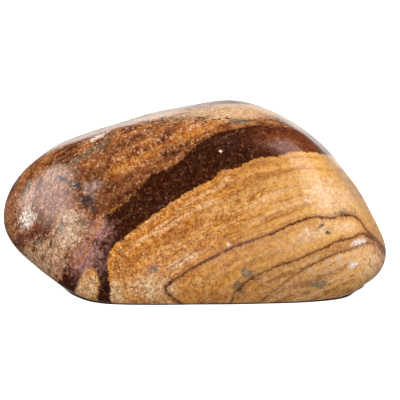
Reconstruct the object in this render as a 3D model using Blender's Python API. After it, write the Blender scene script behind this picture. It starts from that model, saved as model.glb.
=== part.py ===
# A tumbled jasper stone, about 40 mm long, lying on its flattest side. It is one solid body.
# Metres, +Z up. +X runs along the stone to its right end and -Y faces its broad front.
# The origin is on the flat of the base, below the middle of the stone.
import math

import bmesh
import bpy
import numpy as np

MM = 0.001

# Tumbling wears a stone into broad facets that run softly into each other. Each facet is a plane, given by
# its facing in degrees (0 front, 90 right end, 180 back, 270 left end), its tilt in degrees above the
# horizontal, and its reach, the distance from the heart of the stone out to the plane.
FACETS = {
    "base": (0, -90, 8.8 * MM),
    "front": (-5, 17, 12.2 * MM),
    "front_left": (-46, 10, 17.0 * MM),
    "front_right": (44, 16, 18.0 * MM),
    "front_under": (4, -24, 14.3 * MM),
    "crown": (10, 81, 12.1 * MM),
    "roof_left": (246, 74, 10.9 * MM),
    "roof_right": (108, 60, 13.1 * MM),
    "right_cheek": (90, 33, 15.0 * MM),
    "right_tip": (84, 3, 24.0 * MM),
    "right_under": (76, -55, 16.4 * MM),
    "left_shoulder": (262, 46, 16.4 * MM),
    "left_tip": (276, -1, 23.5 * MM),
    "left_under": (286, -52, 15.3 * MM),
    "back": (178, 14, 12.8 * MM),
    "back_left": (226, 12, 16.8 * MM),
    "back_right": (134, 8, 16.4 * MM),
    "back_top": (180, 50, 13.7 * MM),
    "back_under": (190, -42, 13.6 * MM),
}
EDGE_SHARPNESS = 10  # a higher power gives tighter rounding between neighbouring facets
BASE_WEAR = 1.15 * MM  # worn off the lowest side, which leaves the broad flat that the stone lies on
BALL_FINENESS = 5  # subdivisions of the ball the stone is worn from
BALL_STRETCH = (1.5, 1.0, 0.8)  # the ball is drawn out along the stone first, which makes its ends finer
CUT_TOLERANCE = 0.0001 * MM
SHARP_ANGLE = 40  # degrees; the worn edges stay below it, so they shade as one skin

STONE_COLOUR = (0.47, 0.23, 0.075, 1.0)
STONE_ROUGHNESS = 0.18
STONE_METALLIC = 0.0


def clear_scene():
    for old in list(bpy.data.objects):
        bpy.data.objects.remove(old, do_unlink=True)


def facet_planes():
    normals = []
    reaches = []
    for facing, tilt, reach in FACETS.values():
        turn = math.radians(facing)
        lift = math.radians(tilt)
        normals.append((math.sin(turn) * math.cos(lift), -math.cos(turn) * math.cos(lift), math.sin(lift)))
        reaches.append(reach)
    return np.array(normals), np.array(reaches)


def worn_points(directions):
    # Along each direction from the heart the facets are met at 1 / s_i, and the skin lies at
    # (sum of s_i ** n) ** (-1 / n): the nearest facet, rounded where two or three are equally near.
    normals, reaches = facet_planes()
    nearness = np.maximum(directions @ normals.T, 0.0) / reaches
    distance = (nearness**EDGE_SHARPNESS).sum(axis=1) ** (-1.0 / EDGE_SHARPNESS)
    return directions * distance[:, None]


def wear_ball(body):
    directions = np.array([vertex.co for vertex in body.verts]) * BALL_STRETCH
    directions /= np.linalg.norm(directions, axis=1, keepdims=True)
    for vertex, point in zip(body.verts, worn_points(directions)):
        vertex.co = point


def flatten_base(body):
    floor = min(vertex.co.z for vertex in body.verts) + BASE_WEAR
    cut = bmesh.ops.bisect_plane(
        body,
        geom=body.verts[:] + body.edges[:] + body.faces[:],
        dist=CUT_TOLERANCE,
        plane_co=(0.0, 0.0, floor),
        plane_no=(0.0, 0.0, -1.0),
        clear_outer=True,
    )
    rim = [item for item in cut["geom_cut"] if isinstance(item, bmesh.types.BMEdge)]
    bmesh.ops.contextual_create(body, geom=rim)
    for vertex in body.verts:
        vertex.co.z -= floor


def centre_over_base(body):
    points = np.array([vertex.co for vertex in body.verts])
    middle = (points.min(axis=0) + points.max(axis=0)) / 2
    bmesh.ops.translate(body, vec=(-middle[0], -middle[1], 0.0), verts=body.verts[:])


def stone_material():
    material = bpy.data.materials.new("polished_jasper")
    material.use_nodes = True
    shader = material.node_tree.nodes["Principled BSDF"]
    shader.inputs["Base Color"].default_value = STONE_COLOUR
    shader.inputs["Roughness"].default_value = STONE_ROUGHNESS
    shader.inputs["Metallic"].default_value = STONE_METALLIC
    material.diffuse_color = STONE_COLOUR
    return material


def make_stone():
    body = bmesh.new()
    bmesh.ops.create_icosphere(body, subdivisions=BALL_FINENESS, radius=1.0)
    wear_ball(body)
    flatten_base(body)
    centre_over_base(body)
    bmesh.ops.recalc_face_normals(body, faces=body.faces[:])
    mesh = bpy.data.meshes.new("jasper_stone")
    body.to_mesh(mesh)
    body.free()
    mesh.materials.append(stone_material())
    mesh.shade_smooth()
    mesh.set_sharp_from_angle(angle=math.radians(SHARP_ANGLE))
    stone = bpy.data.objects.new("jasper_stone", mesh)
    bpy.context.scene.collection.objects.link(stone)
    return stone


clear_scene()
make_stone()
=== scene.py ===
import math

import bpy
import numpy as np
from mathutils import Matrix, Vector


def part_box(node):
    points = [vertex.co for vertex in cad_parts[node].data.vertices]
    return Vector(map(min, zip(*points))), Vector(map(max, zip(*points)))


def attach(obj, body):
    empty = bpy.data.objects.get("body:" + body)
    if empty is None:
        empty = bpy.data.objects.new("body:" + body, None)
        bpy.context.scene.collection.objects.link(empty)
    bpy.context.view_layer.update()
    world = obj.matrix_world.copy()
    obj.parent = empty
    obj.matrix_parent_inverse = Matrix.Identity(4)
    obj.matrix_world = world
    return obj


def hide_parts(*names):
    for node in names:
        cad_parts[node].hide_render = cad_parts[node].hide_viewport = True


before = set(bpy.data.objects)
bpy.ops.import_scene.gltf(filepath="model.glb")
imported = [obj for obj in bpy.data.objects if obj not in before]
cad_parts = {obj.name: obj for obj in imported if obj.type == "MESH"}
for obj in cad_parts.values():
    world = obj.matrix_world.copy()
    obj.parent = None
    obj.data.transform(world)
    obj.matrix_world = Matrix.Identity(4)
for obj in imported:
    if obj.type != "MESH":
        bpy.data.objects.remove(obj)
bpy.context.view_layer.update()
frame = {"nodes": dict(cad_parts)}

mm = 0.001
print("frame loaded:", ", ".join(frame["nodes"]))


# ---- helpers for surfaces and patterns
def softWaves(points, size, seed, count=24):
    # Smooth noise, rms 1: a sum of plane waves with seeded headings and phases, about `size` from crest to
    # crest.
    rng = np.random.default_rng(seed)
    heading = rng.normal(size=(count, 3))
    heading /= np.linalg.norm(heading, axis=1, keepdims=True)
    length = size * rng.uniform(0.7, 1.4, count)
    phase = rng.uniform(0, 2 * np.pi, count)
    waves = np.sin(points @ (heading * (2 * np.pi / length)[:, None]).T + phase)
    return waves.sum(axis=1) / math.sqrt(count / 2)


def gridBall(cells, stretch):
    # Directions on a ball from six square patches. On a patch both parameters run from -45 to 45 degrees and
    # the direction is (1, tan a, tan b). The patches share their edge points, so there are no seams or poles.
    # The ball is drawn out by `stretch` first, which puts more of the grid at the ends of a long stone.
    step = np.arange(cells + 1)
    i, j = np.meshgrid(step, step, indexing="ij")
    corner = (i[:-1, :-1], j[:-1, :-1])
    first = (corner[0] * (cells + 1) + corner[1]).ravel()
    quad = np.stack([first, first + cells + 1, first + cells + 2, first + 1], axis=1)
    lattice, quads = [], []
    for axis in range(3):
        for side in (-1, 1):
            patch = np.empty((cells + 1, cells + 1, 3), int)
            patch[..., axis] = side * cells
            patch[..., (axis + 1) % 3] = 2 * i - cells
            patch[..., (axis + 2) % 3] = 2 * j - cells
            quads.append((quad if side > 0 else quad[:, ::-1]) + len(lattice) * (cells + 1) ** 2)
            lattice.append(patch.reshape(-1, 3))
    shared, place = np.unique(np.concatenate(lattice), axis=0, return_inverse=True)
    directions = np.tan(shared / cells * math.pi / 4) * stretch
    directions /= np.linalg.norm(directions, axis=1, keepdims=True)
    return directions, place.ravel()[np.concatenate(quads)]


def smoothLine(points, steps=5):
    # A smooth line through the given points: Catmull-Rom, a cubic on each span whose slope at a point is half
    # the vector between its two neighbours.
    p = np.array(points, float)
    p = np.concatenate([[2 * p[0] - p[1]], p, [2 * p[-1] - p[-2]]])
    t = np.linspace(0, 1, steps, endpoint=False)[:, None]
    spans = []
    for a, b, c, d in zip(p[:-3], p[1:-2], p[2:-1], p[3:]):
        square, cube = a - 2.5 * b + 2 * c - d / 2, (3 * b - a - 3 * c + d) / 2
        spans.append(b + (c - a) / 2 * t + square * t**2 + cube * t**3)
    return np.concatenate(spans + [p[-2:-1]])


def sideOf(sheet, points, chunk=20000):
    # Signed distance from each place to a line: the shortest distance to any of its segments, positive on the
    # left of the line as it runs. It is worked out for `chunk` places at a time, to spare memory.
    line = smoothLine(points)
    start, run = line[:-1], np.diff(line, axis=0)
    lengths = (run**2).sum(axis=1)
    result = np.empty(len(sheet))
    for low in range(0, len(sheet), chunk):
        part = sheet[low:low + chunk]
        away = part[:, None, :] - start
        t = np.clip((away * run).sum(axis=2) / lengths, 0, 1)
        gap = away - t[..., None] * run
        far = np.hypot(gap[..., 0], gap[..., 1])
        near = far.argmin(axis=1)
        rows = np.arange(len(part))
        cross = run[near, 0] * away[rows, near, 1] - run[near, 1] * away[rows, near, 0]
        result[low:low + chunk] = far[rows, near] * np.sign(cross)
    return result


def clouds(sheet, spots):
    # Soft patches: each is exp(-(distance / radius) ** 2) in its own turned ellipse, and the largest counts.
    result = np.zeros(len(sheet))
    for x, rise, halfLong, halfShort, turn in spots:
        c, s = math.cos(math.radians(turn)), math.sin(math.radians(turn))
        dx, dz = sheet[:, 0] - x, sheet[:, 1] - rise
        lengthways, across = (dx * c + dz * s) / halfLong, (dz * c - dx * s) / halfShort
        result = np.maximum(result, np.exp(-(lengthways**2) - across**2))
    return result


# ---- the stone's shape
stone = {
    "node": "jasper_stone",
    "slot": "polished_jasper",
    # worn facets: facing in degrees (0 front, 90 right, 180 back, 270 left), tilt above level, reach in mm
    "facets": {
        "base": (0, -90, 8.8),
        "front": (-5, 17, 12.2),
        "frontLeft": (-46, 10, 17.0),
        "frontRight": (44, 16, 18.0),
        "frontUnder": (4, -24, 14.3),
        "crown": (10, 81, 12.1),
        "roofLeft": (246, 74, 10.9),
        "roofRight": (108, 60, 13.1),
        "rightCheek": (90, 33, 15.0),
        "rightTip": (84, 3, 24.0),
        "rightUnder": (76, -55, 16.4),
        "leftShoulder": (262, 46, 16.4),
        "leftTip": (276, -1, 23.5),
        "leftUnder": (286, -52, 15.3),
        "back": (178, 14, 12.8),
        "backLeft": (226, 12, 16.8),
        "backRight": (134, 8, 16.4),
        "backTop": (180, 50, 13.7),
        "backUnder": (190, -42, 13.6),
    },
    "edgeSharpness": 10,  # a higher power gives tighter rounding between facets
    "flat": 1.15,  # mm worn off the lowest side, which leaves the broad flat that the stone lies on
    "rim": 0.3,  # mm, how softly the flat meets the sides
    "cells": 127,  # squares along each side of the six patches
    "stretch": (1.5, 1.0, 0.8),
    "swell": 0.035,  # mm, the slow unevenness that tumbling leaves
    "swellSize": 6.0,  # mm from crest to crest
    "swellSeed": 11,
    # small open pits: place on the stone from its heart (mm), radius and depth (mm)
    "pits": [
        ((10.8, -11.5, 11.9), 0.28, 0.07),
        ((10.7, -12.0, 7.9), 0.22, 0.06),
        ((2.8, -13.0, 6.9), 0.2, 0.05),
        ((-8.2, -4.0, 16.4), 0.35, 0.08),
        ((6.0, 12.5, 6.9), 0.4, 0.09),
        ((-9.5, 9.5, 10.9), 0.3, 0.08),
        ((3.0, 4.0, 18.4), 0.25, 0.06),
    ],
}


def tumbledSkin(directions, facts):
    # Along each direction d from the heart, 1 / distance is the power mean of d . normal / reach over the
    # facets, so the nearest facet wins and the meetings are rounded. Heights r over the flat become
    # (r + rim) ** 2 / (4 rim) where they are within the rim of it, and 0 below that. Lengths are in mm.
    facing, tilt, reach = np.array(list(facts["facets"].values()), float).T
    turn, lift = np.radians(facing), np.radians(tilt)
    normals = np.stack([np.sin(turn) * np.cos(lift), -np.cos(turn) * np.cos(lift), np.sin(lift)], axis=1)
    nearness = np.maximum(directions @ normals.T, 0) / reach
    power = facts["edgeSharpness"]
    distance = (nearness**power).sum(axis=1) ** (-1 / power)
    skin = directions * distance[:, None]
    outward = (nearness ** (power - 1) / reach) @ normals
    outward /= np.linalg.norm(outward, axis=1, keepdims=True)
    swell = facts["swell"] * softWaves(skin, facts["swellSize"], facts["swellSeed"])
    skin += outward * swell[:, None]
    rise = skin[:, 2] - skin[:, 2].min() - facts["flat"]
    soft = facts["rim"]
    skin[:, 2] = np.where(rise > soft, rise, np.maximum(rise + soft, 0) ** 2 / (4 * soft))
    for centre, radius, depth in facts["pits"]:
        hole = np.exp(-((np.linalg.norm(skin - centre, axis=1) / radius) ** 4))
        skin -= outward * (depth * hole)[:, None]
    return skin


def makeMesh(name, points, quads):
    mesh = bpy.data.meshes.new(name)
    mesh.vertices.add(len(points))
    mesh.vertices.foreach_set("co", points.astype(np.float32).ravel())
    mesh.loops.add(quads.size)
    mesh.loops.foreach_set("vertex_index", quads.astype(np.int32).ravel())
    mesh.polygons.add(len(quads))
    mesh.polygons.foreach_set("loop_start", np.arange(0, quads.size, 4, dtype=np.int32))
    mesh.update(calc_edges=True)
    mesh.validate()
    mesh.shade_smooth()
    piece = bpy.data.objects.new(name, mesh)
    bpy.context.scene.collection.objects.link(piece)
    return piece


def giveField(mesh, name, parts):
    # up to three numbers on each vertex, read by the material
    numbers = np.zeros((len(mesh.vertices), 3), np.float32)
    numbers[:, :len(parts)] = np.stack(parts, axis=1)
    layer = mesh.attributes.new(name, "FLOAT_VECTOR", "POINT")
    layer.data.foreach_set("vector", numbers.ravel())


low, high = (np.array(corner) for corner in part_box(stone["node"]))
directions, quads = gridBall(stone["cells"], np.array(stone["stretch"]))
skin = tumbledSkin(directions, stone)
scale = (high - low) / np.ptp(skin, axis=0)
heart = low - skin.min(axis=0) * scale
piece = makeMesh("jasper_stone_skin", skin * scale + heart, quads)
print("stone skin:", len(quads) * 2, "triangles")


# ---- the pattern in the stone
# Lines are (along, rise) in mm from the heart: along runs to the right end, and rise is height square to the
# beds, which dip away from the front.
pattern = {
    "dip": 11,  # degrees
    "lift": 1.12,  # mm, the bed sheet's zero below the stone's flat
    "warpFrom": -5,  # mm from the heart's plane, where the beds start to wander
    "warpTo": 9,
    # for along and for rise: sway of the waves (mm), mm from crest to crest, seed, shift at the back (mm)
    "warps": ((1.9, 17, 3, -2.0), (1.3, 15, 4, 1.0)),
    "marksEnd": 7,  # mm behind the heart's plane, where the small marks, the painted glint and sheen among them, have died out
    "capEnd": 5,  # mm, where the pale cap, partly a painted highlight along the top, has faded as far as it does
    "capLeft": 0.3,  # what is left of the cap there
    "bedAbove": 6,  # mm to one bed number over the band
    "bedBelow": 5,  # mm to one bed number under the lower vein
    # edges and veins
    "bandFoot": [
        (-8.8, -2.5), (-9.0, -0.6), (-9.2, 1.8), (-9.3, 3.2), (-8.8, 4.6), (-7.7, 5.6), (-6.8, 6.4),
        (-4.8, 7.9), (-2.1, 9.7), (-1.1, 10.4), (0.4, 11.2), (1.4, 11.6), (2.1, 12.6), (3.6, 12.7),
        (5.6, 13.7), (7.1, 13.8), (8.7, 14.2), (10.5, 14.4), (12.8, 14.2), (14.5, 14.0), (17.0, 13.6),
        (23.0, 12.5),
    ],
    "bandRoof": [
        (-15.2, 0.1), (-14.2, 1.5), (-13.3, 2.6), (-12.4, 3.9), (-11.4, 5.1), (-10.8, 6.6),
        (-10.0, 8.0), (-8.7, 8.8), (-7.5, 9.7), (-6.4, 10.6), (-5.1, 11.9), (-3.7, 12.6), (-2.1, 13.4),
        (-1.0, 14.5), (0.4, 15.7), (2.2, 16.5), (3.7, 16.9), (5.6, 17.2), (8.2, 17.1), (10.2, 16.7),
        (11.6, 16.3), (13.2, 15.7), (15.5, 15.0), (22.0, 14.4),
    ],
    "notch": [
        (-13.0, -0.7), (-12.5, 0.9), (-11.9, 2.1), (-11.2, 2.7), (-10.5, 2.3), (-10.2, 1.2),
        (-10.3, -0.1), (-10.4, -1.3),
    ],
    "upperVein": [
        (-1.0, -1.9), (-2.2, -0.8), (-3.1, -0.2), (-3.5, 0.5), (-3.2, 1.0), (-2.4, 1.5), (-1.4, 2.2),
        (-0.1, 3.0), (0.9, 3.5), (2.4, 4.3), (4.3, 5.1), (6.1, 5.7), (7.6, 6.3), (8.7, 6.9),
        (10.2, 7.5), (11.6, 7.8), (13.4, 7.7), (14.6, 8.0), (15.7, 7.8), (16.4, 7.2), (16.9, 6.5),
        (17.7, 5.8), (18.6, 5.0), (19.7, 3.6),
    ],
    "lowerVein": [
        (2.8, -2.3), (3.2, -0.9), (3.5, -0.1), (4.1, 0.6), (4.8, 1.3), (6.6, 2.2), (8.2, 3.0),
        (9.9, 3.5), (11.2, 4.1), (12.6, 4.7), (14.0, 5.4), (15.4, 5.7), (16.4, 6.1), (17.1, 5.9),
        (17.9, 5.3), (18.8, 4.4), (19.7, 3.2),
    ],
    "faintVein": [
        (6.3, -0.7), (8.6, 1.2), (10.1, 2.3), (12.0, 3.3), (13.7, 4.1), (15.2, 4.5), (16.4, 5.0),
        (17.4, 5.1), (18.2, 4.7), (19.0, 3.8),
    ],
    # patches: along, rise, half length, half width (mm), turn in degrees
    # the mauve patches at the left end: mostly a painted reflection, the sheen of a softbox, partly a mauve
    # tone of the stone
    "mauveAndPaintedSheen": [(-15.0, 9.7, 2.1, 1.9, 20), (-14.3, 11.6, 1.0, 0.7, 20), (-15.2, 8.2, 0.8, 0.7, 0)],
    # a painted grey sheen, the reflection of a softbox, by the dark ink spots at the left end
    "paintedGreySheen": [(-11.2, 10.5, 1.2, 0.8, -40), (-10.4, 11.1, 0.7, 0.5, 0)],
    "umber": [
        (-16.4, 7.5, 1.3, 0.8, 60), (-9.4, 9.9, 2.4, 1.6, 40), (-10.6, 12.0, 1.8, 0.7, 25),
        (-7.0, 12.0, 1.4, 0.4, 30), (-13.6, 14.3, 2.0, 0.5, 40), (-9.3, 14.6, 2.0, 0.35, 25),
        (-6.5, 15.9, 2.2, 0.4, 20), (-3.0, 14.0, 1.6, 0.35, 28), (-12.3, 12.4, 1.0, 0.5, 10),
    ],
    # chalk: pale chalky spots of the stone; the long streak along the top left edge is a painted glint, a
    # reflection on the rim
    "chalkAndPaintedGlint": [
        (-17.7, 7.6, 0.85, 1.2, -15), (16.1, 5.2, 0.8, 0.4, 20), (2.1, 14.5, 0.25, 0.15, 40),
        (15.6, 2.9, 0.6, 0.3, 30), (-10.5, 16.0, 1.2, 0.25, 24), (10.8, 9.5, 0.3, 0.2, 0),
        (10.7, 6.5, 0.2, 0.2, 0), (2.8, 5.1, 0.2, 0.2, 0),
    ],
    "wedge": [(-18.4, 5.3, 1.2, 0.6, 30), (-16.8, 6.2, 1.9, 0.35, 32)],
    "blush": [
        (-12.4, 7.4, 1.7, 1.2, 30), (-14.2, 11.9, 0.9, 0.5, 20), (-14.6, 3.2, 2.6, 1.3, -38),
        (-18.0, 8.6, 0.9, 2.8, -15), (-11.0, 5.6, 1.0, 1.6, -20), (-12.4, 16.0, 2.6, 0.5, 25),
        (-15.4, 12.2, 1.6, 0.8, 50),
    ],
    "clay": [
        (-16.7, 3.2, 2.8, 0.7, -37), (-13.6, 5.8, 2.6, 1.3, 25), (-15.7, 4.4, 1.8, 0.9, -30),
        (-13.2, 7.9, 1.0, 0.8, 0),
    ],
    "olive": [
        (-10.1, 15.2, 2.6, 0.5, 34), (-12.6, 13.4, 1.4, 0.5, 42), (-17.8, 10.9, 1.2, 0.3, 58),
        (4.0, 17.6, 1.1, 0.3, -5), (14.5, 8.1, 1.5, 0.5, 0), (17.3, 5.7, 0.9, 0.4, -45),
        (5.0, 2.0, 1.2, 0.6, -20), (3.9, 0.6, 0.6, 1.0, -20), (-4.6, 2.5, 1.0, 0.5, 25),
        (12.0, 1.0, 1.4, 0.6, 20), (-14.2, 6.6, 0.9, 0.3, 30), (-11.8, 7.2, 0.9, 0.5, 0),
        (-16.6, 5.2, 0.9, 0.4, 20),
    ],
    "ink": [
        (-12.6, 11.1, 0.85, 0.5, -20), (-11.4, 9.4, 0.85, 0.8, -30), (-10.8, 8.7, 0.4, 0.4, 0),
        (-13.9, 11.7, 0.7, 0.3, -20), (12.2, 6.9, 0.5, 0.2, 30), (12.9, 6.2, 0.3, 0.2, -10),
    ],
    "gold": [
        (-7.5, 13.1, 2.6, 0.9, 28), (-5.0, 14.3, 1.8, 0.5, 28), (-1.2, 16.1, 2.2, 0.8, 22),
        (-10.3, 10.0, 0.7, 0.6, 0), (1.5, 17.3, 1.2, 0.6, 10),
    ],
    # the pale cap over the crown: partly the stone's pale tone, partly a painted highlight along the top
    "paleCapAndHighlight": [(4.0, 19.0, 7.5, 1.3, 4), (-3.8, 18.3, 4.0, 0.28, 14), (10.0, 18.2, 3.0, 1.2, -25)],
    "tan": [
        (-4.8, 0.6, 2.7, 1.5, 0), (-8.5, 0.0, 1.1, 1.6, 0), (-11.4, 0.8, 1.5, 1.7, 0),
        (13.2, 9.9, 3.2, 1.8, -20), (11.6, 6.2, 2.6, 0.8, 20), (14.6, 6.8, 1.6, 0.7, 0),
        (18.0, 3.0, 1.7, 2.2, 0), (-1.6, 3.4, 2.0, 0.5, 30),
    ],
    "sun": [
        (3.8, 9.4, 4.5, 0.8, 24), (-0.5, 5.6, 2.4, 0.5, 32), (10.0, 11.6, 4.0, 0.7, 6),
        (0.6, 1.6, 2.0, 0.6, 20),
    ],
    "shade": [
        (-2.2, 6.8, 2.4, 0.8, 42), (-7.8, 3.4, 0.9, 2.6, -8), (6.0, 12.0, 4.0, 0.4, 12),
        (-5.2, 4.4, 1.8, 0.5, 40), (1.6, -0.6, 1.6, 0.8, 0), (4.2, 0.2, 0.9, 1.2, -25),
    ],
    "rose": [(14.2, 3.1, 3.6, 1.3, 25), (10.1, 0.8, 3.0, 0.8, 15)],
    # the band's pale purplish foot at the lower left: partly the band's paler tone, partly a painted purple
    # sheen of reflected light
    "footToneAndSheen": [(-11.8, 3.8, 2.2, 2.2, 30), (-10.4, 6.6, 1.5, 1.6, 40)],
    "shoulderTone": [(10.0, 15.4, 5.0, 1.9, -6), (12.5, 15.0, 2.5, 1.5, -20)],
}

# the numbers kept on each vertex, three to a field
fieldParts = {
    "band": ("foot", "roof", "notch"),
    "veins": ("upper", "lower", "faint"),
    "bed": ("bed", "along", "deep"),
    "warm": ("gold", "tan", "rose"),
    "pale": ("mauveAndPaintedSheen", "chalkAndPaintedGlint", "clay"),
    "dark": ("olive", "ink", "wedge"),
    "bandTone": ("footToneAndSheen", "shoulderTone", "paleCapAndHighlight"),
    "sand": ("sun", "shade"),
    "ends": ("blush", "umber", "paintedGreySheen"),
}


def bedSheet(skin, facts):
    # Each point of the stone falls on a flat sheet seen square to the beds: (x, z cos dip + y sin dip).
    # Behind the front face the beds wander more and more, by slow waves times the square of the depth.
    dip = math.radians(facts["dip"])
    height = skin[:, 2] + facts["lift"]
    sheet = np.stack([skin[:, 0], height * math.cos(dip) + skin[:, 1] * math.sin(dip)], axis=1)
    depth = (skin[:, 1] - facts["warpFrom"]) / (facts["warpTo"] - facts["warpFrom"])
    depth = np.clip(depth, 0, 1) ** 2
    for axis, (sway, size, seed, shift) in enumerate(facts["warps"]):
        sheet[:, axis] += depth * (sway * softWaves(skin, size, seed) + shift)
    return sheet


def bedNumber(foot, roof, upper, lower, facts):
    # The bed number grows downward: below 0 over the band, 0 to 1 from the band to the upper vein, 1 to 2
    # from there to the lower vein, and above 2 below it. Between two lines it is shared out by distance.
    least = 1e-6  # mm, keeps the shares from dividing by nothing
    below, above = np.maximum(-foot, 0), np.maximum(upper, 0)
    bed = below / (below + above + least)
    under, over = np.maximum(-upper, 0), np.maximum(lower, 0)
    bed = np.where(upper < 0, 1 + under / (under + over + least), bed)
    bed = np.where(lower < 0, 2 - lower / facts["bedBelow"], bed)
    return np.where(roof > 0, -roof / facts["bedAbove"], bed)


def paintFields(mesh, skin, facts):
    sheet = bedSheet(skin, facts)
    values = {"foot": sideOf(sheet, facts["bandFoot"]), "roof": sideOf(sheet, facts["bandRoof"])}
    values["notch"] = sideOf(sheet, facts["notch"])
    for vein in fieldParts["veins"]:
        values[vein] = sideOf(sheet, facts[vein + "Vein"])
    values["bed"] = bedNumber(values["foot"], values["roof"], values["upper"], values["lower"], facts)
    values["along"] = sheet[:, 0]
    values["deep"] = skin[:, 1]
    for name in ("warm", "pale", "dark", "bandTone", "sand", "ends"):
        for part in fieldParts[name]:
            values[part] = clouds(sheet, facts[part])
    # the small marks die out from the middle to the back, the painted glint and sheen among them, and the
    # pale cap, partly a painted highlight, fades over the crown
    near = np.clip(1 - skin[:, 1] / facts["marksEnd"], 0, 1)
    for part in ("chalkAndPaintedGlint", "ink", "wedge", "paintedGreySheen"):
        values[part] *= near
    crown = np.clip(1 - skin[:, 1] / facts["capEnd"], 0, 1)
    values["paleCapAndHighlight"] *= facts["capLeft"] + (1 - facts["capLeft"]) * crown
    for name, parts in fieldParts.items():
        giveField(mesh, name, [values[part] for part in parts])


paintFields(piece.data, skin, pattern)
print("pattern laid into the skin")


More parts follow.
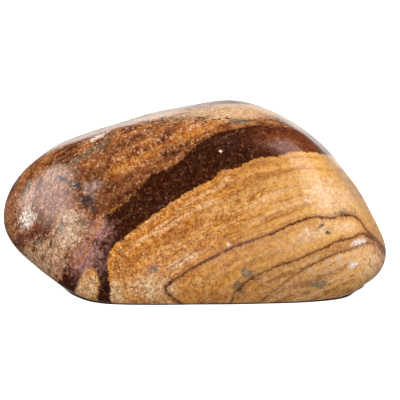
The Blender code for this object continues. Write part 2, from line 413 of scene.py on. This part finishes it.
# ---- the stone's material
jasper = {
    "colours": {  # linear
        "ochre": (0.66, 0.245, 0.030),
        "amber": (0.42, 0.135, 0.020),
        "paleOchre": (0.79, 0.41, 0.110),
        "deepOchre": (0.34, 0.095, 0.010),
        "goldOchre": (0.49, 0.168, 0.022),
        "tan": (0.84, 0.53, 0.275),
        "rose": (0.75, 0.41, 0.18),
        "blush": (0.50, 0.265, 0.165),
        "rust": (0.33, 0.108, 0.030),
        "umber": (0.13, 0.038, 0.014),
        # the painted grey sheen of a reflection
        "paintedGreySheen": (0.42, 0.30, 0.27),
        "fleck": (0.72, 0.40, 0.19),
        "darkRust": (0.11, 0.029, 0.009),
        # mauve: mostly a painted reflection of a softbox, partly the stone's mauve tone
        "mauveAndPaintedSheen": (0.33, 0.145, 0.105),
        # cap: partly the stone's pale tone, partly a painted highlight along the top
        "paleCapAndHighlight": (0.91, 0.62, 0.35),
        # chalk: pale specks of the stone, and a painted glint on the top left edge
        "chalkAndPaintedGlint": (0.84, 0.70, 0.60),
        "clay": (0.57, 0.355, 0.21),
        "olive": (0.19, 0.155, 0.10),
        "ink": (0.04, 0.035, 0.04),
        "wedge": (0.14, 0.036, 0.018),
        "band": (0.042, 0.0080, 0.0016),
        "bandShoulder": (0.17, 0.043, 0.013),
        # the band's foot colour: partly its paler tone, partly a painted purple sheen of reflected light
        "bandFoot": (0.42, 0.20, 0.165),
        "vein": (0.12, 0.025, 0.007),
        "pepper": (0.16, 0.045, 0.010),
        "salt": (0.88, 0.62, 0.36),
        "glint": (0.34, 0.10, 0.02),
        "paleFleck": (0.84, 0.60, 0.42),
    },
    # noises through the stone: features per mm, detail, roughness
    "noises": {
        "mid": (1.3, 3, 0.6),
        "fine": (3.2, 4, 0.65),
        "tone": (2.0, 4, 0.7),
        "grit": (4.2, 3, 0.65),
    },
    # noises drawn out along the beds: what they cross, fineness across it and along it, detail, roughness,
    # and how much of the fine noise is mixed in
    "drawn": {
        "beds": ("bed", 9.0, 0.10, 4, 0.6, 0.0),
        "bedLines": ("bed", 14.0, 0.07, 2, 0.5, 0.12),
        "mottle": ("roof", 1.25, 0.4, 4, 0.65, 0.3),
    },
    # textures mixed from two noises: their names, the share of the second, then where the mix starts to
    # count, where it counts in full, and its amount before and after
    "textures": {
        "ragged": ("mid", "fine", 0.6, 0.34, 0.66, 0.0, 1.0),
        "streaks": ("beds", "fine", 0.25, 0.50, 0.60, 0.0, 0.65),
        "orangeClouds": ("mid", "beds", 0.4, 0.50, 0.64, 0.0, 0.4),
        "tanClouds": ("mid", "beds", 0.4, 0.48, 0.34, 0.0, 0.5),
        "rustFlecks": ("beds", "tone", 0.6, 0.49, 0.57, 0.0, 0.75),
        "whiteFlecks": ("tone", "beds", 0.3, 0.47, 0.41, 0.0, 0.85),
        "paleFlecks": ("grit", "tone", 0.6, 0.54, 0.66, 0.0, 0.65),
    },
    # ramps on one noise, grain or place (mm): its name, then the same four numbers
    "ramps": {
        "paleBeds": ("beds", 0.48, 0.36, 0.0, 0.5),
        "wideBeds": ("beds", 0.36, 0.64, 0.0, 1.0),
        "softBeds": ("beds", 0.38, 0.60, 0.0, 1.0),
        "wideMottle": ("mottle", 0.38, 0.62, 0.0, 1.0),
        "rustMottle": ("mottle", 0.40, 0.52, 0.0, 1.0),
        "amberMottle": ("mottle", 0.50, 0.62, 0.0, 1.0),
        "capMottle": ("mottle", 0.44, 0.58, 0.0, 0.6),
        "lineBreaks": ("mid", 0.38, 0.58, 0.15, 1.0),
        "streaksAtVein": ("bed", 0.95, 1.05, 1.0, 0.45),
        "streaksAtLeg": ("along", -9.0, -6.0, 0.15, 1.0),
        "streaksAtBand": ("bed", 0.0, 0.12, 0.35, 1.0),
        "linesAtVein": ("bed", 0.95, 1.05, 1.0, 0.15),
        "linesAtLeg": ("along", -9.0, -4.0, 0.1, 1.0),
        "linesAtTip": ("along", 14.0, 4.0, 0.25, 0.85),
        "underVein": ("lower", 0.1, -0.6, 0.0, 1.0),
        "nearTip": ("along", 2.0, 8.0, 0.0, 1.0),
        "overBand": ("roof", -0.4, 0.2, 0.0, 1.0),
        "wellOverBand": ("roof", 0.4, 2.0, 0.0, 1.0),
        "darkGrains": ("darkGrain", 0.22, 0.06, 0.0, 1.0),
        "darkTone": ("tone", 0.40, 0.60, 0.3, 0.7),
        "lightGrains": ("lightGrain", 0.88, 0.99, 0.0, 1.0),
        "lightTone": ("tone", 0.60, 0.40, 0.2, 0.6),
        "redGrains": ("redGrain", 0.60, 0.98, 0.0, 0.3),
        "redTone": ("tone", 0.42, 0.60, 0.0, 1.0),
        "grainAlong": ("along", -10.0, 12.0, 1.3, 0.3),
        "offUmber": ("umber", 0.05, 0.5, 1.0, 0.3),
        "shadeAlong": ("along", -12.0, 12.0, 1.5, 0.5),
        "polish": ("grit", 0.3, 0.7, 0.11, 0.24),  # roughness
    },
    # patches: the texture that frays them, where they start and are full, how much they fray, their strength
    # and their colour
    "sandPatches": {
        "sun": ("bedded", 0.2, 0.9, 0.8, 0.8, "paleOchre"),
        "shade": ("bedded", 0.2, 0.9, 0.9, 0.6, "amber"),
        "tan": ("bedded", 0.12, 0.95, 0.9, 1.0, "tan"),
        "rose": ("softBeds", 0.3, 0.9, 0.7, 0.8, "rose"),
    },
    "rustPatches": {
        "gold": ("ragged", 0.35, 0.75, 0.9, 1.0, "goldOchre"),
        "blush": ("blotch", 0.25, 0.85, 1.0, 0.9, "blush"),
        "clay": ("blotch", 0.3, 0.85, 0.9, 0.9, "clay"),
        # the mauve patches: mostly a painted reflection of a softbox, partly the stone's mauve tone
        "mauveAndPaintedSheen": ("blotch", 0.25, 0.95, 0.7, 0.85, "mauveAndPaintedSheen"),
        "umber": ("blotch", 0.3, 0.9, 1.1, 0.75, "umber"),
        # the painted grey sheen of a reflection at the left end
        "paintedGreySheen": ("blotch", 0.2, 1.0, 0.5, 0.75, "paintedGreySheen"),
    },
    "bandPatches": {
        "shoulderTone": ("ragged", 0.1, 1.0, 0.3, 1.0, "bandShoulder"),
        # the band's foot: partly its paler tone, partly a painted purple sheen of reflected light
        "footToneAndSheen": ("blotch", 0.12, 0.9, 0.7, 0.95, "bandFoot"),
    },
    "marks": {
        "olive": ("ragged", 0.4, 0.85, 1.0, 0.8, "olive"),
        "ink": ("blotch", 0.25, 0.85, 0.6, 0.9, "ink"),
        # chalk: pale specks, and one painted glint along the top left edge
        "chalkAndPaintedGlint": ("ragged", 0.25, 0.75, 0.7, 1.0, "chalkAndPaintedGlint"),
        "wedge": ("ragged", 0.3, 0.65, 0.5, 1.0, "wedge"),
    },
    "capPatch": (0.18, 0.85, 0.85),  # the same, without its texture: start, full, fraying
    "capStrength": 0.9,
    "paleSand": (-1.0, 10.5),  # mm along, from ochre to pale ochre
    "paleSandFray": (8.0, 0.4),  # mm, and its share
    "lineWidth": (0.035, 0.008),  # of the thin beds, in noise about its middle value
    # the band: how far the mid and fine noises move its edges, and where foot, roof and notch start and end
    "bandSway": (0.8, 0.5),  # mm
    "footEdge": (-0.06, 0.10),  # mm
    "roofEdge": (0.2, -0.14),
    "notchEdge": (-0.3, 0.15),
    "bandFray": 1.9,  # mm, how far the roof breaks up over the foot of the band
    "bandSoft": 0.9,  # mm, how wide its edge is there
    # veins: half width in mm and strength
    "veins": {"upper": (0.12, 1.0), "lower": (0.115, 0.9), "faint": (0.08, 0.6)},
    "veinEdge": (1.8, 0.3),  # where a vein starts and is full, in half widths
    "veinHalo": (5.0, 1.0, 0.35),  # the same for its rusty halo, and the halo's strength
    "veinWander": 0.55,  # share of the fine noise
    "veinBreaks": (0.4, 0.35, 0.55, 0.45),  # share of fine noise, where a vein is thin and full, and least
    "grainSize": 0.17,  # mm
    "grainInBand": 0.15,  # share of the grains left in the band
    "saltInBand": (0.6, 0.1),
    # light and dark sand: share of the grit, where it is darkest and lightest, and what those do to red,
    # green and blue
    "shadeGrit": 0.45,
    "shadeRange": (0.36, 0.64),
    "shadeInBand": 1.5,
    "sandShades": ((0.64, 1.28), (0.47, 1.42), (0.32, 1.6)),
    "refraction": 1.54,
    "bumpStrength": 0.5,
    "bumpDepth": 0.006,  # mm
    "grainBump": 0.5,  # height of the grains beside the grit
}


def put(tree, socket, value):
    if isinstance(value, bpy.types.NodeSocket):
        tree.links.new(value, socket)
    elif value is not None:
        socket.default_value = value


def maths(tree, kind, a, b=None, c=None):
    node = tree.nodes.new("ShaderNodeMath")
    node.operation = kind
    for socket, value in zip(node.inputs, (a, b, c)):
        put(tree, socket, value)
    return node.outputs[0]


def product(tree, first, *others):
    for value in others:
        first = maths(tree, "MULTIPLY", first, value)
    return first


def total(tree, first, *others):
    for value in others:
        first = maths(tree, "ADD", first, value)
    return first


def centred(tree, value):
    # a noise about 0 in place of 0.5
    return maths(tree, "SUBTRACT", value, 0.5)


def mixed(tree, first, second, share):
    # first * (1 - share) + second * share
    return total(tree, product(tree, first, 1 - share), product(tree, second, share))


def ease(tree, value, start, end, bottom=0.0, top=1.0):
    # bottom before start, top after end, smooth between; start may be above end
    node = tree.nodes.new("ShaderNodeMapRange")
    node.interpolation_type = "SMOOTHSTEP"
    for socket, given in zip(node.inputs, (value, start, end, bottom, top)):
        put(tree, socket, given)
    return node.outputs["Result"]


def blend(tree, amount, first, second, kind="MIX"):
    node = tree.nodes.new("ShaderNodeMix")
    node.data_type = "RGBA"
    node.blend_type = kind
    put(tree, node.inputs[0], amount)
    for socket, value in ((node.inputs[6], first), (node.inputs[7], second)):
        put(tree, socket, value if isinstance(value, bpy.types.NodeSocket) else (*value, 1.0))
    return node.outputs[2]


def noise(tree, place, fineness, detail, rough):
    # fineness is in features per mm
    node = tree.nodes.new("ShaderNodeTexNoise")
    put(tree, node.inputs["Vector"], place)
    put(tree, node.inputs["Scale"], fineness)
    put(tree, node.inputs["Detail"], detail)
    put(tree, node.inputs["Roughness"], rough)
    return node.outputs[0]


def joined(tree, x, y, z):
    node = tree.nodes.new("ShaderNodeCombineXYZ")
    for socket, value in zip(node.inputs, (x, y, z)):
        put(tree, socket, value)
    return node.outputs[0]


def frayed(tree, cloud, texture, start, end, depth):
    # a soft cloud given a ragged edge by a texture
    return ease(tree, total(tree, cloud, product(tree, centred(tree, texture), depth)), start, end)


def layPatches(tree, ground, at, colours, patches):
    for name, (texture, start, end, depth, strength, colour) in patches.items():
        amount = product(tree, frayed(tree, at[name], at[texture], start, end, depth), strength)
        ground = blend(tree, amount, ground, colours[colour])
    return ground


def readFields(tree):
    at = {}
    for name, parts in fieldParts.items():
        node = tree.nodes.new("ShaderNodeAttribute")
        node.attribute_name = name
        split = tree.nodes.new("ShaderNodeSeparateXYZ")
        tree.links.new(node.outputs["Vector"], split.inputs[0])
        at.update(zip(parts, split.outputs))
    return at


def placeInMm(tree):
    where = tree.nodes.new("ShaderNodeTexCoord")
    scaled = tree.nodes.new("ShaderNodeVectorMath")
    scaled.operation = "SCALE"
    tree.links.new(where.outputs["Object"], scaled.inputs[0])
    scaled.inputs["Scale"].default_value = 1 / mm
    return scaled.outputs[0]


def addTextures(tree, at, place, facts):
    for name, (fineness, detail, rough) in facts["noises"].items():
        at[name] = noise(tree, place, fineness, detail, rough)
    for name, (crossed, across, lengthways, detail, rough, share) in facts["drawn"].items():
        run = [product(tree, at[axis], lengthways) for axis in ("along", "deep")]
        drawn = noise(tree, joined(tree, product(tree, at[crossed], across), *run), 1.0, detail, rough)
        at[name] = mixed(tree, drawn, at["fine"], share)
    for name, (first, second, share, *ramp) in facts["textures"].items():
        at[name] = ease(tree, mixed(tree, at[first], at[second], share), *ramp)
    # one random number for each grain, three times over
    cells = tree.nodes.new("ShaderNodeTexVoronoi")
    put(tree, cells.inputs["Vector"], place)
    put(tree, cells.inputs["Scale"], 1 / facts["grainSize"])
    split = tree.nodes.new("ShaderNodeSeparateColor")
    tree.links.new(cells.outputs["Color"], split.inputs[0])
    at.update(zip(("darkGrain", "lightGrain", "redGrain"), split.outputs))
    for name, (source, *ramp) in facts["ramps"].items():
        at[name] = ease(tree, at[source], *ramp)
    at["bedded"] = mixed(tree, at["ragged"], at["wideBeds"], 0.5)
    at["blotch"] = mixed(tree, at["ragged"], at["wideMottle"], 0.5)


def sandGround(tree, at, facts):
    # the sandy ground under the band: paler to the right, and streaked along the beds down to the upper vein
    colours = facts["colours"]
    fray, share = facts["paleSandFray"]
    paler = ease(tree, mixed(tree, at["along"], product(tree, at["ragged"], fray), share), *facts["paleSand"])
    sand = blend(tree, paler, colours["ochre"], colours["paleOchre"])
    streaked = product(tree, at["streaksAtVein"], at["streaksAtLeg"], at["streaksAtBand"])
    sand = blend(tree, product(tree, at["streaks"], streaked), sand, colours["deepOchre"])
    sand = blend(tree, product(tree, at["paleBeds"], streaked), sand, colours["tan"])
    sand = layPatches(tree, sand, at, colours, facts["sandPatches"])

    # thin lines where the noise crosses its middle value
    lines = ease(tree, maths(tree, "ABSOLUTE", centred(tree, at["bedLines"])), *facts["lineWidth"])
    lines = product(tree, lines, at["lineBreaks"], at["linesAtTip"], at["linesAtVein"], at["linesAtLeg"])
    sand = blend(tree, lines, sand, colours["deepOchre"])

    # slow clouds of orange and tan
    sand = blend(tree, at["orangeClouds"], sand, colours["amber"])
    sand = blend(tree, at["tanClouds"], sand, colours["rose"])

    # under the lower vein the sand is flecked with rust and white
    flecked = product(tree, at["underVein"], at["nearTip"])
    sand = blend(tree, product(tree, at["rustFlecks"], flecked), sand, colours["rust"])
    return blend(tree, product(tree, at["whiteFlecks"], flecked), sand, colours["paleFleck"])


def rustyGround(tree, at, facts):
    # the rusty, mottled ground over the band, streaked along it
    colours = facts["colours"]
    rusty = blend(tree, at["rustMottle"], colours["darkRust"], colours["rust"])
    rusty = blend(tree, at["amberMottle"], rusty, colours["amber"])
    # these patches include the painted mauve reflection and the painted grey sheen at the left end
    rusty = layPatches(tree, rusty, at, colours, facts["rustPatches"])
    # the pale cap: partly the stone's pale tone, partly a painted highlight along the top
    capColour = blend(tree, at["capMottle"], colours["paleCapAndHighlight"], colours["fleck"])
    capped = frayed(tree, at["paleCapAndHighlight"], at["blotch"], *facts["capPatch"])
    rusty = blend(tree, product(tree, capped, facts["capStrength"]), rusty, capColour)
    return blend(tree, product(tree, at["paleFlecks"], at["wellOverBand"]), rusty, colours["fleck"])


def bandCover(tree, at, facts):
    # How much of the dark band covers each place: a crisp, scalloped foot, and a roof that breaks up over the
    # foot of the band and under the dark umber patches.
    midSway, fineSway = facts["bandSway"]
    moved = product(tree, centred(tree, at["mid"]), midSway)
    moved = total(tree, moved, product(tree, centred(tree, at["fine"]), fineSway))
    footEdge = ease(tree, total(tree, at["foot"], moved), *facts["footEdge"])
    notchEdge = ease(tree, total(tree, at["notch"], moved), *facts["notchEdge"])
    loose = maths(tree, "MAXIMUM", at["footToneAndSheen"], at["umber"])
    breakUp = product(tree, loose, facts["bandFray"], centred(tree, at["blotch"]))
    softness = product(tree, loose, facts["bandSoft"])
    outer, inner = facts["roofEdge"]
    outer, inner = total(tree, softness, outer), maths(tree, "SUBTRACT", inner, softness)
    roofEdge = ease(tree, total(tree, at["roof"], moved, breakUp), outer, inner)
    return product(tree, footEdge, roofEdge, notchEdge)


def layGrain(tree, ground, at, facts):
    # dark and light grains of sand, few of them in the band or to the right, and reddish glints in the band
    colours, band = facts["colours"], at["band"]
    calm = maths(tree, "SUBTRACT", 1.0, product(tree, band, 1 - facts["grainInBand"]))
    calm = product(tree, calm, at["grainAlong"])
    pepper = product(tree, at["darkGrains"], at["darkTone"], calm)
    ground = blend(tree, pepper, ground, colours["pepper"])
    offBand = ease(tree, band, *facts["saltInBand"])
    salt = product(tree, at["lightGrains"], at["lightTone"], calm, at["offUmber"], offBand)
    ground = blend(tree, salt, ground, colours["salt"])
    glint = product(tree, at["redGrains"], band, at["redTone"])
    return blend(tree, glint, ground, colours["glint"])


def layVeins(tree, ground, at, facts):
    # thin dark lines that wander and fade in and out, each with a rusty halo
    wander = centred(tree, mixed(tree, at["mid"], at["fine"], facts["veinWander"]))
    share, thin, full, least = facts["veinBreaks"]
    breaks = mixed(tree, at["mid"], at["fine"], share)
    haloOuter, haloInner, haloStrength = facts["veinHalo"]
    outer, inner = facts["veinEdge"]
    for name, (width, strength) in facts["veins"].items():
        off = maths(tree, "ABSOLUTE", total(tree, at[name], wander))
        halo = ease(tree, off, width * haloOuter, width * haloInner, 0.0, strength * haloStrength)
        ground = blend(tree, halo, ground, facts["colours"]["rust"])
        line = ease(tree, off, width * outer, width * inner)
        line = product(tree, line, ease(tree, breaks, thin, full, strength * least, strength))
        ground = blend(tree, line, ground, facts["colours"]["vein"])
    return ground


def shadeSand(tree, ground, at, facts):
    # light and dark sand: the darker it is, the deeper its colour; strongest at the left and in the band
    level = centred(tree, mixed(tree, at["tone"], at["grit"], facts["shadeGrit"]))
    swing = maths(tree, "MAXIMUM", at["shadeAlong"], product(tree, at["band"], facts["shadeInBand"]))
    level = maths(tree, "MULTIPLY_ADD", level, swing, 0.5)
    shades = [ease(tree, level, *facts["shadeRange"], dark, light) for dark, light in facts["sandShades"]]
    return blend(tree, 1.0, ground, joined(tree, *shades), "MULTIPLY")


def polishedJasper(facts):
    material = bpy.data.materials.new("polishedJasper")
    material.use_nodes = True
    tree = material.node_tree
    at = readFields(tree)
    addTextures(tree, at, placeInMm(tree), facts)

    ground = blend(tree, at["overBand"], sandGround(tree, at, facts), rustyGround(tree, at, facts))
    at["band"] = bandCover(tree, at, facts)
    bandColour = layPatches(tree, facts["colours"]["band"], at, facts["colours"], facts["bandPatches"])
    ground = blend(tree, at["band"], ground, bandColour)
    ground = layPatches(tree, ground, at, facts["colours"], facts["marks"])
    ground = layGrain(tree, ground, at, facts)
    ground = layVeins(tree, ground, at, facts)

    shader = tree.nodes["Principled BSDF"]
    put(tree, shader.inputs["Base Color"], shadeSand(tree, ground, at, facts))
    put(tree, shader.inputs["Roughness"], at["polish"])
    shader.inputs["IOR"].default_value = facts["refraction"]
    shader.inputs["Metallic"].default_value = 0.0
    bump = tree.nodes.new("ShaderNodeBump")
    bump.inputs["Strength"].default_value = facts["bumpStrength"]
    bump.inputs["Distance"].default_value = facts["bumpDepth"] * mm
    grainHeight = product(tree, at["darkGrain"], facts["grainBump"])
    put(tree, bump.inputs["Height"], total(tree, grainHeight, at["grit"]))
    put(tree, shader.inputs["Normal"], bump.outputs[0])
    return material


piece.data.materials.append(polishedJasper(jasper))
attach(piece, "root")
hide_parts(stone["node"])
print("stone polished")


# ---- floor, light and camera
studio = {
    "floorWidth": 3.0,  # m
    "floorColour": (0.93, 0.93, 0.93),
    "floorRoughness": 0.7,
    "floorShine": 0.2,
    "contactShadowColour": (0.06, 0.04, 0.03),  # painted contact shadow: the floor's colour where the stone and the floor close up
    "floorGlow": 0.9,  # the pale floor glows evenly, but the glow fades where the stone touches it, which paints a contact shadow
    "contact": 0.0003,  # m round the stone where the glow fades
    "contactSamples": 16,
    # how open the floor is to the air, from 0 to 1, where its glow and its pale colour start and are full
    "glowOpen": (0.5, 0.9),
    "paleOpen": (0.35, 0.8),
    # the white tent: brightness low down, level with the stone and overhead, and those heights, as sines
    "tent": (0.44, 0.77, 1.05),
    "tentHeights": (-0.9, 0.0, 0.8),
    # how much of the tent shows in the polish: from overhead, and from its white skirt at the stone's level,
    # and then how it fades to the height where it is all overhead, toward the floor and to both sides
    "tentShine": (0.03, 1.2),
    "shineAbove": (0.28, 0.0),
    "shineBelow": (-0.15, -0.45, 1.0, 0.25),
    "shineSides": (0.12, 0.27, 1.0, 0.15),
    # name: azimuth (0 front, 90 right), elevation, distance in m, width and height in m, brightness, and
    # brightness seen in the polish
    "boxes": {
        "rightBox": (58, 46, 0.5, 0.52, 0.44, 2.2, 2.4),
        "leftBox": (-86, 15, 0.5, 0.50, 0.20, 2.6, 3.4),
    },
    "boxFront": (0.05, 0.2),  # a box shows in the polish only on its own side of the sky
    "boxEdge": (1.4, 0.6),  # and fades from inside to outside its edge, in half sizes
    "boxAim": 0.01,  # m over the floor
    "cameraElevation": 11,
    "cameraDistance": 0.33,
    "lens": 283.6,
    "clip": (0.01, 20),
    "aim": (0.0, 0.1, 8.50),  # mm from the heart's foot
}


def toward(azimuth, elevation):
    a, e = math.radians(azimuth), math.radians(elevation)
    return Vector((math.sin(a) * math.cos(e), -math.cos(a) * math.cos(e), math.sin(e)))


def makeFloor(facts):
    half = facts["floorWidth"] / 2
    corners = np.array([(-half, -half, 0), (half, -half, 0), (half, half, 0), (-half, half, 0)])
    floor = makeMesh("studio_floor", corners, np.array([[0, 1, 2, 3]]))
    material = bpy.data.materials.new("paleFloor")
    material.use_nodes = True
    tree = material.node_tree
    shader = tree.nodes["Principled BSDF"]
    shader.inputs["Roughness"].default_value = facts["floorRoughness"]
    shader.inputs["Specular IOR Level"].default_value = facts["floorShine"]
    shader.inputs["Emission Color"].default_value = (1, 1, 1, 1)
    near = tree.nodes.new("ShaderNodeAmbientOcclusion")
    near.samples = facts["contactSamples"]
    near.inputs["Distance"].default_value = facts["contact"]
    # near the stone the glow fades and the colour turns dark: a painted contact shadow, worked out from how
    # open the floor is
    glow = ease(tree, near.outputs["AO"], *facts["glowOpen"], 0.0, facts["floorGlow"])
    put(tree, shader.inputs["Emission Strength"], glow)
    clearOfPaintedShadow = ease(tree, near.outputs["AO"], *facts["paleOpen"])
    put(tree, shader.inputs["Base Color"], blend(tree, clearOfPaintedShadow, facts["contactShadowColour"], facts["floorColour"]))
    floor.data.materials.append(material)
    # the lower half of the tent lights the stone in place of the floor
    floor.visible_diffuse = False
    floor.visible_glossy = False
    floor.visible_shadow = False


def reach(tree, direction, axis):
    # how far a direction of the sky goes along an axis
    node = tree.nodes.new("ShaderNodeVectorMath")
    node.operation = "DOT_PRODUCT"
    put(tree, node.inputs[0], direction)
    node.inputs[1].default_value = axis
    return node.outputs["Value"]


def boxInPolish(tree, sky, box, facts):
    azimuth, elevation, distance, width, height, _, shine = box
    out = toward(azimuth, elevation)
    side = toward(azimuth + 90, 0)
    ahead = reach(tree, sky, out)
    window = ease(tree, ahead, *facts["boxFront"], 0.0, shine)
    for axis, size in ((side, width), (out.cross(side), height)):
        off = maths(tree, "ABSOLUTE", maths(tree, "DIVIDE", reach(tree, sky, axis), ahead))
        edge = [size / distance / 2 * share for share in facts["boxEdge"]]
        window = product(tree, window, ease(tree, off, *edge))
    return window


def makeSky(facts):
    # The dull light comes from the tent. Only the polish sees the boxes and a tent that fades upward, down
    # and to the sides.
    world = bpy.data.worlds.new("studioSky")
    world.use_nodes = True
    tree = world.node_tree
    sky = tree.nodes.new("ShaderNodeTexCoord").outputs["Generated"]
    split = tree.nodes.new("ShaderNodeSeparateXYZ")
    tree.links.new(sky, split.inputs[0])
    height = split.outputs[2]
    below, level, above = facts["tent"]
    lowest, middle, highest = facts["tentHeights"]
    tent = ease(tree, height, middle, highest, ease(tree, height, lowest, middle, below, level), above)
    shown = ease(tree, height, *facts["shineAbove"], *facts["tentShine"])
    shown = product(tree, shown, ease(tree, height, *facts["shineBelow"]))
    sideways = maths(tree, "ABSOLUTE", split.outputs[0])
    shown = product(tree, shown, ease(tree, sideways, *facts["shineSides"]))
    polish = product(tree, tent, shown)
    for box in facts["boxes"].values():
        polish = total(tree, polish, boxInPolish(tree, sky, box, facts))
    ray = tree.nodes.new("ShaderNodeLightPath")
    seen = ease(tree, ray.outputs["Is Glossy Ray"], 0.0, 1.0, tent, polish)
    put(tree, tree.nodes["Background"].inputs["Strength"], seen)
    tree.nodes["Background"].inputs["Color"].default_value = (1, 1, 1, 1)
    bpy.context.scene.world = world


def makeBoxes(facts, heartFoot):
    middle = heartFoot + Vector((0, 0, facts["boxAim"]))
    for name, box in facts["boxes"].items():
        azimuth, elevation, distance, width, height, brightness, _ = box
        lamp = bpy.data.lights.new(name, "AREA")
        lamp.shape = "RECTANGLE"
        lamp.size = width
        lamp.size_y = height
        lamp.energy = brightness * math.pi * width * height  # W, so that the lamp's face has that brightness
        holder = bpy.data.objects.new(name, lamp)
        out = toward(azimuth, elevation)
        holder.location = middle + out * distance
        holder.rotation_mode = "QUATERNION"
        holder.rotation_quaternion = out.to_track_quat("Z", "Y")
        holder.visible_glossy = False
        bpy.context.scene.collection.objects.link(holder)


def makeCamera(facts, heartFoot):
    lens = bpy.data.cameras.new("camera")
    lens.lens = facts["lens"]
    lens.clip_start, lens.clip_end = facts["clip"]
    camera = bpy.data.objects.new("camera", lens)
    back = toward(0, facts["cameraElevation"])
    camera.location = heartFoot + Vector(facts["aim"]) * mm + back * facts["cameraDistance"]
    camera.rotation_mode = "QUATERNION"
    camera.rotation_quaternion = back.to_track_quat("Z", "Y")
    bpy.context.scene.collection.objects.link(camera)
    bpy.context.scene.camera = camera


heartFoot = Vector((heart[0], heart[1], 0))
makeFloor(studio)
makeSky(studio)
makeBoxes(studio, heartFoot)
makeCamera(studio, heartFoot)
bpy.context.scene.view_settings.view_transform = "Standard"
print("studio set")
